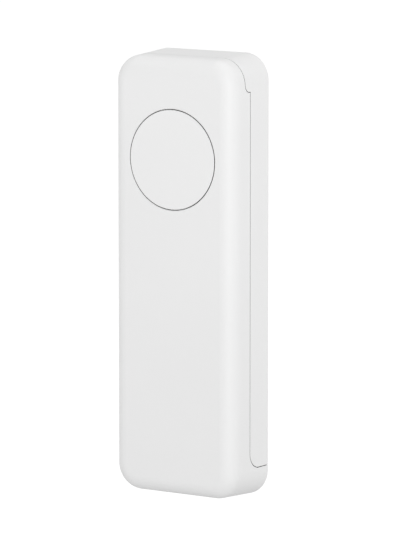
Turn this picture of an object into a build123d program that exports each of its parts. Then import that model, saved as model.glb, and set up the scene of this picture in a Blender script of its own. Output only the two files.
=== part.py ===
from build123d import *
import os

# Wireless doorbell push, in millimetres. The wall face lies in y = 0 and the front looks along -Y.
# "Depth" is the distance from the wall, so a sketch at depth d is on Plane.XZ.offset(d).
os.makedirs("parts", exist_ok=True)

# Body
body_w = 39.0
body_h = 120.0
body_d = 17.6
side_taper = 0.3  # each long side leans in by this much from the wall to the front
end_taper = 1.0
corner_r = 7.2
least_corner_r = 0.6
front_edge_r = 4.2
wall_t = 1.8
front_t = 2.0
plate_t = 2.0
rear_edge_r = 0.3

# Seam between the rear cover and the front housing
side_depth = 8.87
cap_depth = 11.35
cap_h = 9.5
foot_h = 8.72
cap_seam_r = 1.9
foot_seam_r = 4.2
seam_gap = 0.2

# Clearances, and how far a feature is sunk into the wall that it grows from
slide_clear = 0.35
fit_clear = 0.2
touch_clear = 0.1
root = 0.2

# Low ribs
rib_h = 0.5
rib_t = 0.8
plate_rib_count = 4

# Wall fixing
wall_hole_r = 1.9
wall_sink_r = 3.6
wall_sink_angle = 110.0
wall_hole_spacing = 80.0
tape_w = 28.0
tape_h = 24.0
tape_t = 0.8
tape_corner_r = 2.0
tape_spacing = 34.0

# Slide rails
rail_back = 4.6
rail_t = 1.2
rail_bite = 1.0
rail_clear = 0.3
lip_t = 1.3
rail_end_gap = 5.0
skirt_t = 1.2

# Tongue of the front housing that centres the cap
tongue_l = 1.2
tongue_t = 1.0
tongue_drop = 1.0

# Button
button_r = 13.4
button_drop = 28.1  # from the top end to the middle of the button
button_t = 1.6
button_rim_t = 1.5
button_flange_w = 1.25
button_flange_t = 0.8
button_boss_r = 2.0
button_boss_gap = 0.05
button_rib_t = 0.8
button_rib_h = 0.6
button_rib_inset = 1.0
button_edge = 0.2
collar_t = 1.0
collar_l = 2.1

# Silicone boot under the button
boot_base_r = 11.0
boot_top_r = 8.2
boot_t = 0.8
boot_foot_t = 0.6
boot_lip_w = 2.2

# Deck of the inner frame, gasket and circuit board
deck_t = 1.2
gasket_t = 0.6
gasket_w = 1.1
ledge_t = 1.2
top_wall_rise = 0.6
standoff_h = 0.8
standoff_r = 1.9
board_t = 1.0
board_h = 40.2
board_corner_r = 1.0
board_top_gap = 1.4

# Cells
cell_r = 5.05
wrap_t = 0.2
wrap_inset = 0.5
cell_l = 44.5
cell_edge_r = 0.4
nub_l = 1.0
nub_r = 1.9
cell_gap = 0.4
cell_lift = 0.7
tray_lift = 1.0
tray_wall = 1.2
tray_front_t = 0.8
tray_foot_gap = 5.2
finger_notch_l = 14.0
finger_notch_d = 3.4
mark_l = 3.0
deck_rib_gap = 3.0

# Cell contacts
contact_t = 0.4
contact_h = 6.0
contact_inset = 2.0
tab_w = 2.5
tab_out = 4.0  # from the middle of a cell to the middle of its tab
tab_overlap = 1.8
coil_l = 2.4
coil_r = 3.4
coil_turns = 2.5
coil_cone = -22.0
coil_wire_r = 0.25

# Screws
frame_screw_r = 0.85
frame_head_r = 1.9
frame_head_t = 1.1
frame_screw_l = 6.0
frame_tip_gap = 0.3
frame_boss_r = 2.0
frame_screw_x = 11.5
low_screw_x = 10.0
low_screw_gap = 0.3
frame_cross_l = 2.0
frame_cross_w = 0.45
frame_cross_d = 0.6
board_screw_r = 0.7
board_head_r = 1.4
board_head_t = 0.8
board_screw_l = 2.0
board_screw_edge = 2.85
board_screw_rise = 5.0  # the upper pair sits this far above the middle of the button
board_cross_l = 1.6
board_cross_w = 0.35
board_cross_d = 0.45

# Push switch behind the button, and the pairing switch on the back of the board
switch_w = 6.2
switch_h = 1.3
switch_corner_r = 0.4
switch_cover_t = 0.15
switch_well_r = 2.6
switch_floor = 0.2
plunger_r = 1.6
plunger_rise = 0.55
plunger_flange_w = 0.35
plunger_flange_t = 0.4
dome_t = 0.1
dome_h = 0.5
leg_l = 1.0
leg_w = 0.7
leg_t = 0.2
leg_inset = 0.9
pair_w = 4.6
pair_drop = 11.9  # below the middle of the button
pair_plunger_r = 1.2
pair_well_r = 1.9
pair_hole_r = 3.7

# Radio module, at the foot of the board
radio_rise = 4.0
radio_w = 13.0
radio_h = 6.8
radio_board_t = 0.6
shield_x = -1.2
shield_w = 8.4
shield_h = 5.6
shield_rise = 1.2
shield_t = 0.2
radio_chip_w = 4.0
radio_chip_t = 0.8
crystal_x = 4.8
crystal_w = 2.4
crystal_h = 3.2
crystal_t = 0.7
crystal_r = 0.4

# Strip antenna
aerial_t = 0.4
aerial_h = 1.0
aerial_side_gap = 0.6
aerial_top_gap = 0.45
aerial_drop = 12.0

# Controller
control_x = -11.6
control_drop = 11.6
control_w = 4.0
control_t = 0.9
control_corner_r = 0.2
lead_count = 6
lead_pitch = 0.65
lead_row = 4.6
lead_l = 0.6
lead_w = 0.28
lead_t = 0.3
lead_lift = 0.1

# Passive parts: sizes, and places as (x, drop below the middle of the button)
passive_w = 0.8
passive_l = 1.6
capacitor_t = 0.8
resistor_t = 0.45
bulk_w = 5.2
bulk_h = 2.6
bulk_t = 1.6
bulk_x = 11.2
bulk_drop = 15.6
capacitors_at = [(8.6, 13.3), (11.0, 13.3), (13.4, 13.3), (-7.6, 14.0), (-5.2, 13.2)]
resistors_at = [(8.8, 10.1), (11.2, 9.3), (13.4, 9.3), (5.6, 13.0), (3.2, 13.3)]

# Depths and places that follow from the sizes above
cap_z = body_h / 2 - cap_h
foot_z = foot_h - body_h / 2
button_z = body_h / 2 - button_drop
pair_z = button_z - pair_drop
front_in = body_d - front_t
deck_back = side_depth + seam_gap + fit_clear
deck_front = deck_back + deck_t
ledge_back = deck_front + gasket_t
ledge_front = ledge_back + ledge_t
board_back = deck_front + standoff_h
board_front = board_back + board_t
housing_top_z = cap_z - seam_gap
deck_top_z = housing_top_z - 2 * fit_clear
seal_top_z = deck_top_z - gasket_w
board_top_z = deck_top_z - board_top_gap
board_low_z = board_top_z - board_h
radio_z = board_low_z + radio_rise
radio_front = board_front + radio_board_t
control_z = button_z - control_drop

rail_in = body_w / 2 - side_taper * side_depth / body_d - wall_t
flange_x = rail_in - slide_clear
lip_x = flange_x - rail_bite
skirt_x = lip_x - slide_clear
lip_back = rail_back + rail_t + rail_clear
rail_low_z = foot_z + rail_end_gap
rail_l = cap_z - rail_end_gap - rail_low_z
rail_mid_z = rail_low_z + rail_l / 2

tab_depth = board_front
contact_front = tab_depth + contact_t
cell_out_r = cell_r + wrap_t
cell_x = cell_out_r + cell_gap / 2
tray_back = plate_t + tray_lift
cell_depth = tray_back + cell_lift + cell_out_r
tray_in_front = max(cell_depth + cell_out_r, contact_front) + touch_clear
tray_out_front = tray_in_front + tray_front_t
tray_in_w = 2 * (cell_x + cell_out_r + cell_gap)
tray_out_w = tray_in_w + 2 * tray_wall
tray_low_z = foot_z + tray_foot_gap
tray_top_z = tray_low_z + cell_l + coil_l + 2 * contact_t
tray_end_z = tray_top_z + tray_wall
low_screw_z = tray_low_z - tray_wall - frame_boss_r - low_screw_gap
tab_x = cell_x + tab_out

button_open_r = button_r + seam_gap
button_flange_r = button_r + button_flange_w
collar_in_r = button_flange_r + slide_clear
screw_reach = collar_in_r + frame_boss_r + touch_clear
top_screw_z = button_z + (screw_reach**2 - frame_screw_x**2) ** 0.5
flange_front = front_in - touch_clear
flange_back = flange_front - button_flange_t
button_in = body_d - button_t
plunger_front = board_front + switch_h + switch_cover_t + plunger_rise


def outline(depth, inset):
    """Width, height and corner radius of the body at a depth, `inset` inside its skin."""
    share = depth / body_d
    width = body_w - 2 * (side_taper * share + inset)
    height = body_h - 2 * (end_taper * share + inset)
    radius = max(corner_r - inset, least_corner_r)
    return width, height, radius


def body_form(inset, back, front, edge=0.0):
    """Tapered rounded block between two depths, `inset` inside the skin."""
    with BuildPart() as block:
        for depth in (back, front):
            with BuildSketch(Plane.XZ.offset(depth)):
                RectangleRounded(*outline(depth, inset))
        loft(ruled=True)
        if edge > 0:
            fillet(block.faces().sort_by(Axis.Y)[0].edges(), edge)
    return block.part


def slab(x_size, z_low, z_high, back, front, x_mid=0.0):
    """Box between two heights and two depths."""
    with BuildPart() as box:
        with BuildSketch(Plane.XZ.offset(back)):
            with Locations((x_mid, (z_low + z_high) / 2)):
                Rectangle(x_size, z_high - z_low)
        extrude(amount=front - back)
    return box.part


def shape_below(form, top_z, back, front):
    """The part of a form that lies under a height."""
    zone = slab(body_w, -body_h, top_z, back, front)
    with BuildPart() as kept:
        add(form)
        add(zone, mode=Mode.INTERSECT)
    return kept.part


def seal_ring(inset, back, front):
    """Flat ring, one gasket wide, that follows the inside of the body and closes under the cap."""
    outer = shape_below(body_form(inset, back, front), deck_top_z, back, front)
    inner = shape_below(body_form(wall_t + fit_clear + gasket_w, back, front), seal_top_z, back, front)
    with BuildPart() as ring:
        add(outer)
        add(inner, mode=Mode.SUBTRACT)
    return ring.part


def rear_zone(grow):
    """Everything on the wall side of the seam, with its edge moved out by `grow`."""
    step = cap_depth + grow
    side = side_depth + grow
    step_z = cap_z - grow
    low_z = foot_z - grow
    beyond = body_h
    with BuildPart() as zone:
        with BuildSketch(Plane.YZ) as profile:
            with BuildLine():
                Polyline(
                    (beyond, beyond),
                    (-step, beyond),
                    (-step, step_z),
                    (-side, step_z),
                    (-side, low_z),
                    (beyond, low_z),
                    close=True,
                )
            make_face()
            foot_corner = profile.vertices().group_by(Axis.Y)[0].sort_by(Axis.X)[0]
            fillet(foot_corner, foot_seam_r + grow)
            cap_corner = profile.vertices().group_by(Axis.X)[0].sort_by(Axis.Y)[0]
            fillet(cap_corner, cap_seam_r + grow)
        extrude(amount=body_w, both=True)
    return zone.part


def save(piece, name):
    """Labels a finished piece and writes its file."""
    piece.label = name
    export_step(piece, f"parts/{name}.step")


frame_screws_at = [
    (-frame_screw_x, top_screw_z),
    (frame_screw_x, top_screw_z),
    (-low_screw_x, low_screw_z),
    (low_screw_x, low_screw_z),
]
board_half_w = outline(board_front, wall_t + fit_clear + gasket_w)[0] / 2 - slide_clear
board_screw_x = board_half_w - board_screw_edge
board_screws_at = [
    (side * board_screw_x, height)
    for side in (-1, 1)
    for height in (board_low_z + board_screw_edge, button_z + board_screw_rise)
]

body_outer = body_form(0, 0, body_d, front_edge_r)
inner_edge_r = front_edge_r - wall_t

# Rear cover: wall plate, low side walls with slide lips, and the cap over the top
trough = body_form(wall_t, plate_t, front_in, inner_edge_r)
wall_side = rear_zone(0)
plate_rib_pitch = (wall_hole_spacing - 4 * wall_sink_r) / plate_rib_count
lip_w = rail_in + wall_t / 2 - lip_x
with BuildPart() as rear_cover:
    add(body_outer)
    fillet(rear_cover.faces().sort_by(Axis.Y)[-1].edges(), rear_edge_r)
    add(trough, mode=Mode.SUBTRACT)
    add(wall_side, mode=Mode.INTERSECT)
    # Lips that hold the front unit back against the wall
    with BuildSketch(Plane.XZ.offset(lip_back)):
        for side in (-1, 1):
            with Locations((side * (lip_x + lip_w / 2), rail_mid_z)):
                Rectangle(lip_w, rail_l)
    extrude(amount=lip_t)
    # Low stiffening ribs across and along the plate, clear of the wall screws
    with BuildSketch(Plane.XZ.offset(plate_t - touch_clear)):
        with GridLocations(0, plate_rib_pitch, 1, plate_rib_count):
            Rectangle(tape_w, rib_t)
        with GridLocations(tape_w - rib_t, 0, 2, 1):
            Rectangle(rib_t, plate_rib_pitch * (plate_rib_count - 1))
    extrude(amount=rib_h + touch_clear)
    # Pockets for the tape pads
    with BuildSketch(Plane.XZ):
        with GridLocations(0, tape_spacing, 1, 2):
            RectangleRounded(tape_w + 2 * fit_clear, tape_h + 2 * fit_clear, tape_corner_r)
    extrude(amount=tape_t, mode=Mode.SUBTRACT)
    # Countersunk wall-screw holes
    with Locations(Plane.XZ.offset(plate_t)):
        with GridLocations(0, wall_hole_spacing, 1, 2):
            CounterSinkHole(wall_hole_r, wall_sink_r, depth=plate_t, counter_sink_angle=wall_sink_angle)
save(rear_cover.part, "rear_cover")

# Foam tape pads
with BuildPart() as mounting_tape:
    with BuildSketch(Plane.XZ):
        with GridLocations(0, tape_spacing, 1, 2):
            RectangleRounded(tape_w, tape_h, tape_corner_r)
    extrude(amount=tape_t)
save(mounting_tape.part, "mounting_tape")

# Seal ledge, top wall and tongue of the front housing
ledge = seal_ring(wall_t - touch_clear, ledge_back, ledge_front)

top_wall_back = cap_depth + seam_gap
top_wall_front = ledge_front + top_wall_rise
top_wall_form = body_form(wall_t - touch_clear, top_wall_back, top_wall_front)
top_wall_zone = slab(body_w, seal_top_z, body_h, top_wall_back, top_wall_front)
with BuildPart() as top_wall:
    add(top_wall_form)
    add(top_wall_zone, mode=Mode.INTERSECT)

tongue_back = cap_depth - tongue_l
tongue_outer = body_form(wall_t + slide_clear, tongue_back, top_wall_back)
tongue_inner = body_form(wall_t + slide_clear + tongue_t, tongue_back, top_wall_back)
tongue_zone = slab(body_w, cap_z + tongue_drop, body_h, tongue_back, top_wall_back)
with BuildPart() as tongue:
    add(tongue_outer)
    add(tongue_inner, mode=Mode.SUBTRACT)
    add(tongue_zone, mode=Mode.INTERSECT)

# Front housing: front shell with the full-depth foot, the button opening, bosses and seal ledge
room = body_form(wall_t, wall_t, front_in, inner_edge_r)
behind_seam = rear_zone(seam_gap)
with BuildPart() as front_housing:
    add(body_outer)
    fillet(front_housing.faces().sort_by(Axis.Y)[-1].edges(), rear_edge_r)
    add(room, mode=Mode.SUBTRACT)
    add(ledge)
    add(behind_seam, mode=Mode.SUBTRACT)
    add(top_wall.part)
    add(tongue.part)
    # Collar that guides the button's flange
    with BuildSketch(Plane.XZ.offset(front_in - collar_l)):
        with Locations((0, button_z)):
            Circle(collar_in_r + collar_t)
            Circle(collar_in_r, mode=Mode.SUBTRACT)
    extrude(amount=collar_l + root)
    # Bosses for the frame screws
    with BuildSketch(Plane.XZ.offset(deck_front)):
        with Locations(*frame_screws_at):
            Circle(frame_boss_r)
    extrude(amount=front_in - deck_front + root)
    with BuildSketch(Plane.XZ.offset(deck_front)):
        with Locations(*frame_screws_at):
            Circle(frame_screw_r)
    extrude(amount=frame_screw_l - deck_t, mode=Mode.SUBTRACT)
    # Opening for the button
    with BuildSketch(Plane.XZ.offset(front_in - root)):
        with Locations((0, button_z)):
            Circle(button_open_r)
    extrude(amount=front_t + 2 * root, mode=Mode.SUBTRACT)
    front_face = front_housing.faces().sort_by(Axis.Y)[0]
    rim = front_face.edges().filter_by(GeomType.CIRCLE).sort_by(SortBy.RADIUS)[-1]
    chamfer(rim, button_edge)
save(front_housing.part, "front_housing")

# Button: flush disc with a rim, a retaining flange, a centre boss and ribs
with BuildPart() as button_cap:
    for radius, front in ((button_flange_r, flange_front), (button_r, body_d)):
        with BuildSketch(Plane.XZ.offset(flange_back)):
            with Locations((0, button_z)):
                Circle(radius)
        extrude(amount=front - flange_back)
    with BuildSketch(Plane.XZ.offset(flange_back)):
        with Locations((0, button_z)):
            Circle(button_r - button_rim_t)
    extrude(amount=button_in - flange_back, mode=Mode.SUBTRACT)
    boss_back = plunger_front + button_boss_gap
    with BuildSketch(Plane.XZ.offset(boss_back)):
        with Locations((0, button_z)):
            Circle(button_boss_r)
    extrude(amount=button_in + root - boss_back)
    with BuildSketch(Plane.XZ.offset(button_in - button_rib_h)):
        with Locations((0, button_z)):
            for turn in (0, 90):
                Rectangle(2 * (button_r - button_rib_inset), button_rib_t, rotation=turn)
    extrude(amount=button_rib_h + root)
    face_rim = button_cap.faces().sort_by(Axis.Y)[0].edges()
    fillet(face_rim, button_edge)
save(button_cap.part, "button_cap")

# Silicone boot under the button's ribs, a turned shape about the button's axis
boot_front = button_in - button_rib_h
boot_foot = board_front + boot_foot_t
boot_shoulder = boot_front - boot_foot_t
with BuildPart() as button_boot:
    with BuildSketch(Plane.XY.offset(button_z)):
        with BuildLine():
            Polyline(
                (boot_base_r - boot_lip_w, -board_front),
                (boot_base_r, -board_front),
                (boot_base_r, -boot_foot),
                (boot_base_r - boot_t, -boot_foot),
                (boot_top_r, -boot_shoulder),
                (boot_top_r, -boot_front),
                (boot_top_r - boot_lip_w, -boot_front),
                (boot_top_r - boot_lip_w, -boot_shoulder),
                (boot_top_r - boot_t, -boot_shoulder),
                (boot_base_r - 2 * boot_t, -boot_foot),
                (boot_base_r - boot_lip_w, -boot_foot),
                close=True,
            )
        make_face()
    revolve(axis=Axis((0, 0, button_z), (0, 1, 0)))
save(button_boot.part, "button_boot")

# Inner frame: deck, cell tray, slide skirts with flanges, and board standoffs
deck = shape_below(body_form(wall_t + fit_clear, deck_back, deck_front), deck_top_z, deck_back, deck_front)
tray_outer = slab(tray_out_w, tray_low_z - tray_wall, tray_end_z, tray_back, tray_out_front)
tray_room = slab(tray_in_w, tray_low_z, tray_top_z, tray_back, tray_in_front)
with BuildPart() as inner_frame:
    add(deck)
    add(tray_outer)
    add(tray_room, mode=Mode.SUBTRACT)
    for side in (-1, 1):
        with BuildSketch(Plane.XZ.offset(rail_back)):
            with Locations((side * (skirt_x - skirt_t / 2), rail_mid_z)):
                Rectangle(skirt_t, rail_l)
        extrude(amount=deck_back - rail_back + root)
        with BuildSketch(Plane.XZ.offset(rail_back)):
            with Locations((side * (flange_x + skirt_x - skirt_t) / 2, rail_mid_z)):
                Rectangle(flange_x - skirt_x + skirt_t, rail_l)
        extrude(amount=rail_t)
        # Slot for the contact tab
        with BuildSketch(Plane.XZ.offset(tab_depth - touch_clear)):
            with Locations((side * tab_x, tray_top_z + tray_wall / 2)):
                Rectangle(tab_w + 2 * fit_clear, tray_wall + 2 * touch_clear)
        extrude(amount=contact_t + 2 * touch_clear, mode=Mode.SUBTRACT)
    # Finger notches in the sides of the tray, to lift the cells out
    with BuildSketch(Plane.XZ.offset(tray_back)):
        with Locations((0, (tray_low_z + tray_top_z) / 2)):
            Rectangle(tray_out_w + 2 * touch_clear, finger_notch_l)
    extrude(amount=finger_notch_d, mode=Mode.SUBTRACT)
    # Collar round the pairing button and ribs above the tray
    with BuildSketch(Plane.XZ.offset(deck_back - 2 * rib_h)):
        with Locations((0, pair_z)):
            Circle(pair_hole_r + rib_t)
            Circle(pair_hole_r, mode=Mode.SUBTRACT)
        with Locations((0, (tray_end_z + top_screw_z) / 2)):
            with GridLocations(2 * (cell_out_r + deck_rib_gap), 0, 2, 1):
                Rectangle(rib_t, top_screw_z - tray_end_z)
    extrude(amount=2 * rib_h)
    # Plus and minus marks above the cells
    with BuildSketch(Plane.XZ.offset(deck_back - rib_h)):
        with Locations((-cell_x, tray_end_z + mark_l)):
            Rectangle(mark_l, rib_t)
            Rectangle(rib_t, mark_l)
        with Locations((cell_x, tray_end_z + mark_l)):
            Rectangle(mark_l, rib_t)
    extrude(amount=rib_h)
    # Standoffs with pilot holes for the board screws
    with BuildSketch(Plane.XZ.offset(deck_front)):
        with Locations(*board_screws_at):
            Circle(standoff_r)
    extrude(amount=standoff_h)
    with BuildSketch(Plane.XZ.offset(board_back)):
        with Locations(*board_screws_at):
            Circle(board_screw_r)
    extrude(amount=board_t - board_screw_l, mode=Mode.SUBTRACT)
    # Holes for the frame screws and for a finger to reach the pairing switch
    with BuildSketch(Plane.XZ.offset(deck_back)):
        with Locations(*frame_screws_at):
            Circle(frame_screw_r + fit_clear)
        with Locations((0, pair_z)):
            Circle(pair_hole_r)
    extrude(amount=deck_t, mode=Mode.SUBTRACT)
save(inner_frame.part, "inner_frame")

# Gasket between the deck and the housing's ledge
save(seal_ring(wall_t + fit_clear, deck_front, ledge_back), "frame_gasket")

# Screws that hold the inner frame to the housing, with cross recesses
with BuildPart() as frame_screws:
    with BuildSketch(Plane.XZ.offset(deck_back - frame_head_t)):
        with Locations(*frame_screws_at):
            Circle(frame_head_r)
    extrude(amount=frame_head_t)
    with BuildSketch(Plane.XZ.offset(deck_back)):
        with Locations(*frame_screws_at):
            Circle(frame_screw_r)
    extrude(amount=frame_screw_l - frame_tip_gap)
    with BuildSketch(Plane.XZ.offset(deck_back - frame_head_t)):
        with Locations(*frame_screws_at):
            Rectangle(frame_cross_l, frame_cross_w)
            Rectangle(frame_cross_w, frame_cross_l)
    extrude(amount=frame_cross_d, mode=Mode.SUBTRACT)
save(frame_screws.part, "frame_screws")

# Circuit board
with BuildPart() as main_board:
    with BuildSketch(Plane.XZ.offset(board_back)):
        with Locations((0, (board_low_z + board_top_z) / 2)):
            RectangleRounded(2 * board_half_w, board_h, board_corner_r)
        with Locations(*board_screws_at):
            Circle(board_screw_r + fit_clear, mode=Mode.SUBTRACT)
        with Locations(*frame_screws_at[:2]):
            Circle(frame_boss_r + slide_clear, mode=Mode.SUBTRACT)
    extrude(amount=board_t)
save(main_board.part, "main_board")

with BuildPart() as board_screws:
    with BuildSketch(Plane.XZ.offset(board_front)):
        with Locations(*board_screws_at):
            Circle(board_head_r)
    extrude(amount=board_head_t)
    with BuildSketch(Plane.XZ.offset(board_front)):
        with Locations(*board_screws_at):
            Circle(board_screw_r)
    extrude(amount=fit_clear - board_screw_l)
    with BuildSketch(Plane.XZ.offset(board_front + board_head_t)):
        with Locations(*board_screws_at):
            Rectangle(board_cross_l, board_cross_w)
            Rectangle(board_cross_w, board_cross_l)
    extrude(amount=-board_cross_d, mode=Mode.SUBTRACT)
save(board_screws.part, "board_screws")


def switch_parts(width, well_r, stem_r, z_mid, base, toward):
    """Body, cover, dome, plunger and legs of a tact switch that stands on the board at depth
    `base` and points to the front (toward = 1) or to the wall (toward = -1)."""

    def at(height):
        return Plane.XZ.offset(base + toward * height)

    stem_back = switch_floor + dome_h
    cover_front = switch_h + switch_cover_t
    with BuildPart() as body:
        with BuildSketch(at(0)):
            with Locations((0, z_mid)):
                RectangleRounded(width, width, switch_corner_r)
        extrude(amount=toward * switch_h)
        with BuildSketch(at(switch_floor)):
            with Locations((0, z_mid)):
                Circle(well_r)
        extrude(amount=toward * (switch_h - switch_floor), mode=Mode.SUBTRACT)
    with BuildPart() as cover:
        with BuildSketch(at(switch_h)):
            with Locations((0, z_mid)):
                RectangleRounded(width, width, switch_corner_r)
                Circle(stem_r + touch_clear, mode=Mode.SUBTRACT)
        extrude(amount=toward * switch_cover_t)
    with BuildPart() as plunger:
        with BuildSketch(at(stem_back)):
            with Locations((0, z_mid)):
                Circle(stem_r)
        extrude(amount=toward * (cover_front + plunger_rise - stem_back))
        with BuildSketch(at(stem_back)):
            with Locations((0, z_mid)):
                Circle(stem_r + plunger_flange_w)
        extrude(amount=toward * plunger_flange_t)
    # Domed spring disc: the space between two arcs, turned about the switch's axis
    foot_y = -(base + toward * switch_floor)
    crown_y = foot_y - toward * dome_h
    rim_r = well_r - touch_clear
    with BuildPart() as dome:
        with BuildSketch(Plane.XY.offset(z_mid)):
            with BuildLine():
                over = ThreePointArc((-rim_r, foot_y), (0, crown_y), (rim_r, foot_y))
                under = ThreePointArc(
                    (-rim_r + dome_t, foot_y), (0, crown_y + toward * dome_t), (rim_r - dome_t, foot_y)
                )
                Line(over @ 0, under @ 0)
                Line(over @ 1, under @ 1)
            make_face()
            with Locations((-well_r, foot_y)):
                Rectangle(2 * well_r, 4 * well_r, mode=Mode.SUBTRACT)
        revolve(axis=Axis((0, 0, z_mid), (0, 1, 0)))
    with BuildPart() as legs:
        with BuildSketch(at(0)):
            with Locations((0, z_mid)):
                with GridLocations(width + leg_l, width - 2 * leg_inset, 2, 2):
                    Rectangle(leg_l, leg_w)
        extrude(amount=toward * leg_t)
    return {
        "body": body.part,
        "cover": cover.part,
        "dome": dome.part,
        "plunger": plunger.part,
        "legs": legs.part,
    }


push_switch = switch_parts(switch_w, switch_well_r, plunger_r, button_z, board_front, 1)
pair_switch = switch_parts(pair_w, pair_well_r, pair_plunger_r, pair_z, board_back, -1)
for kind, pieces in (("push", push_switch), ("pair", pair_switch)):
    for piece_name, piece in pieces.items():
        save(piece, f"{kind}_switch_{piece_name}")


def chip(x_mid, z_mid, x_size, z_size, height, base=board_front):
    """Box that stands on the board."""
    return slab(x_size, z_mid - z_size / 2, z_mid + z_size / 2, base, base + height, x_mid)


# Radio module: small board, chip, shield can and crystal
save(chip(0, radio_z, radio_w, radio_h, radio_board_t), "radio_board")
save(chip(shield_x, radio_z, radio_chip_w, radio_chip_w, radio_chip_t, radio_front), "radio_chip")

shield_room_w = shield_w - 2 * shield_t
shield_room_h = shield_h - 2 * shield_t
shield_outer = chip(shield_x, radio_z, shield_w, shield_h, shield_rise, radio_front)
shield_room = chip(shield_x, radio_z, shield_room_w, shield_room_h, shield_rise - shield_t, radio_front)
with BuildPart() as radio_shield:
    add(shield_outer)
    add(shield_room, mode=Mode.SUBTRACT)
save(radio_shield.part, "radio_shield")

with BuildPart() as crystal:
    with BuildSketch(Plane.XZ.offset(radio_front)):
        with Locations((crystal_x, radio_z)):
            RectangleRounded(crystal_w, crystal_h, crystal_r)
    extrude(amount=crystal_t)
save(crystal.part, "crystal")

# Strip antenna along three edges of the board
aerial_x = board_half_w - aerial_side_gap
aerial_top_z = board_top_z - aerial_top_gap
with BuildPart() as antenna:
    with BuildSketch(Plane.XZ.offset(board_front)):
        with BuildLine():
            Polyline(
                (-aerial_x, button_z - aerial_drop),
                (-aerial_x, aerial_top_z),
                (aerial_x, aerial_top_z),
                (aerial_x, button_z),
            )
        trace(line_width=aerial_t)
    extrude(amount=aerial_h)
save(antenna.part, "antenna")

# Controller with its leads
with BuildPart() as controller:
    with BuildSketch(Plane.XZ.offset(board_front + lead_lift)):
        with Locations((control_x, control_z)):
            RectangleRounded(control_w, control_w, control_corner_r)
    extrude(amount=control_t)
save(controller.part, "controller")

with BuildPart() as controller_leads:
    with BuildSketch(Plane.XZ.offset(board_front)):
        with Locations((control_x, control_z)):
            with GridLocations(lead_row, lead_pitch, 2, lead_count):
                Rectangle(lead_l, lead_w)
            with GridLocations(lead_pitch, lead_row, lead_count, 2):
                Rectangle(lead_w, lead_l)
    extrude(amount=lead_t)
save(controller_leads.part, "controller_leads")

# Passive parts
save(chip(bulk_x, button_z - bulk_drop, bulk_w, bulk_h, bulk_t), "bulk_capacitor")
for name, places, height in (
    ("capacitors", capacitors_at, capacitor_t),
    ("resistors", resistors_at, resistor_t),
):
    with BuildPart() as passives:
        with BuildSketch(Plane.XZ.offset(board_front)):
            with Locations(*[(x, button_z - drop) for x, drop in places]):
                Rectangle(passive_w, passive_l)
        extrude(amount=height)
    save(passives.part, name)


def cell_plane(x_side, nub_up):
    """Plane across a cell, at its flat end, that looks towards its nub."""
    if nub_up:
        flat_z = tray_top_z - contact_t - cell_l
        return Plane((x_side * cell_x, -cell_depth, flat_z), x_dir=(1, 0, 0), z_dir=(0, 0, 1))
    flat_z = tray_low_z + contact_t + cell_l
    return Plane((x_side * cell_x, -cell_depth, flat_z), x_dir=(1, 0, 0), z_dir=(0, 0, -1))


# Cells, each a steel can in a plain sleeve
can_l = cell_l - nub_l
for name, side, nub_up in (("cell_left", -1, True), ("cell_right", 1, False)):
    base = cell_plane(side, nub_up)
    with BuildPart() as can:
        with BuildSketch(base):
            Circle(cell_r)
        extrude(amount=can_l)
        fillet(can.edges().filter_by(GeomType.CIRCLE), cell_edge_r)
        with BuildSketch(base.offset(can_l)):
            Circle(nub_r)
        extrude(amount=nub_l)
    save(can.part, name)
    with BuildPart() as sleeve:
        with BuildSketch(base.offset(wrap_inset)):
            Circle(cell_out_r)
            Circle(cell_r, mode=Mode.SUBTRACT)
        extrude(amount=can_l - 2 * wrap_inset)
    save(sleeve.part, f"{name}_sleeve")


def coil(x_mid, z_seat, heading):
    """Conical contact spring that stands on a contact and narrows towards the cell, which lies
    above it (heading = 1) or below it (heading = -1)."""
    rise = coil_l - 2 * coil_wire_r - touch_clear
    with BuildPart() as spring:
        with BuildLine() as path:
            Helix(
                pitch=rise / coil_turns,
                height=rise,
                radius=coil_r,
                center=(x_mid, -cell_depth, z_seat + heading * coil_wire_r),
                direction=(0, 0, heading),
                cone_angle=coil_cone,
            )
        with BuildSketch(Plane(path.line @ 0, z_dir=path.line % 0)):
            Circle(coil_wire_r)
        sweep(is_frenet=True)
    return spring.part


# Cell contacts: two with tabs that reach the board, and one link across the foot of the tray
contact_back = cell_depth - contact_h / 2
top_contact_z = tray_top_z - contact_t
low_contact_z = tray_low_z + contact_t
tab_end_z = board_low_z + tab_overlap
contact_w = tab_x + tab_w / 2 - contact_inset
contact_x = contact_inset + contact_w / 2
for name, side in (("positive_contact", -1), ("negative_contact", 1)):
    seat = slab(contact_w, top_contact_z, tray_top_z, contact_back, contact_front, side * contact_x)
    tab = slab(tab_w, top_contact_z, tab_end_z, tab_depth, contact_front, side * tab_x)
    with BuildPart() as contact:
        add(seat)
        add(tab)
    save(contact.part, name)
link_contact = slab(4 * cell_x, tray_low_z, low_contact_z, contact_back, contact_back + contact_h)
save(link_contact, "link_contact")
save(coil(cell_x, top_contact_z, -1), "top_spring")
save(coil(-cell_x, low_contact_z, 1), "link_spring")
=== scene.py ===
"""Looks of a slim wireless doorbell push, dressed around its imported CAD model."""

from math import cos, radians, sin

import bpy
import numpy as np
from mathutils import Matrix, Vector


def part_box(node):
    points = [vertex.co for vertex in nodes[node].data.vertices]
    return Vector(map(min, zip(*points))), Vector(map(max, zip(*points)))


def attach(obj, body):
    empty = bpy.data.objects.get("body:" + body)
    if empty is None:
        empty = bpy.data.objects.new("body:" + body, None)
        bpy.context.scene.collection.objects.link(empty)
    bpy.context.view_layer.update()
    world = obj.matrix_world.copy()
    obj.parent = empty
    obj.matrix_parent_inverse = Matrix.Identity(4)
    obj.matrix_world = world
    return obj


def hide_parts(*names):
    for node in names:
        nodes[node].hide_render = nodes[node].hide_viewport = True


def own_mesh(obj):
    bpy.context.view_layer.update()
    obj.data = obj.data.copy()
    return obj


MM = 0.001

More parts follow.
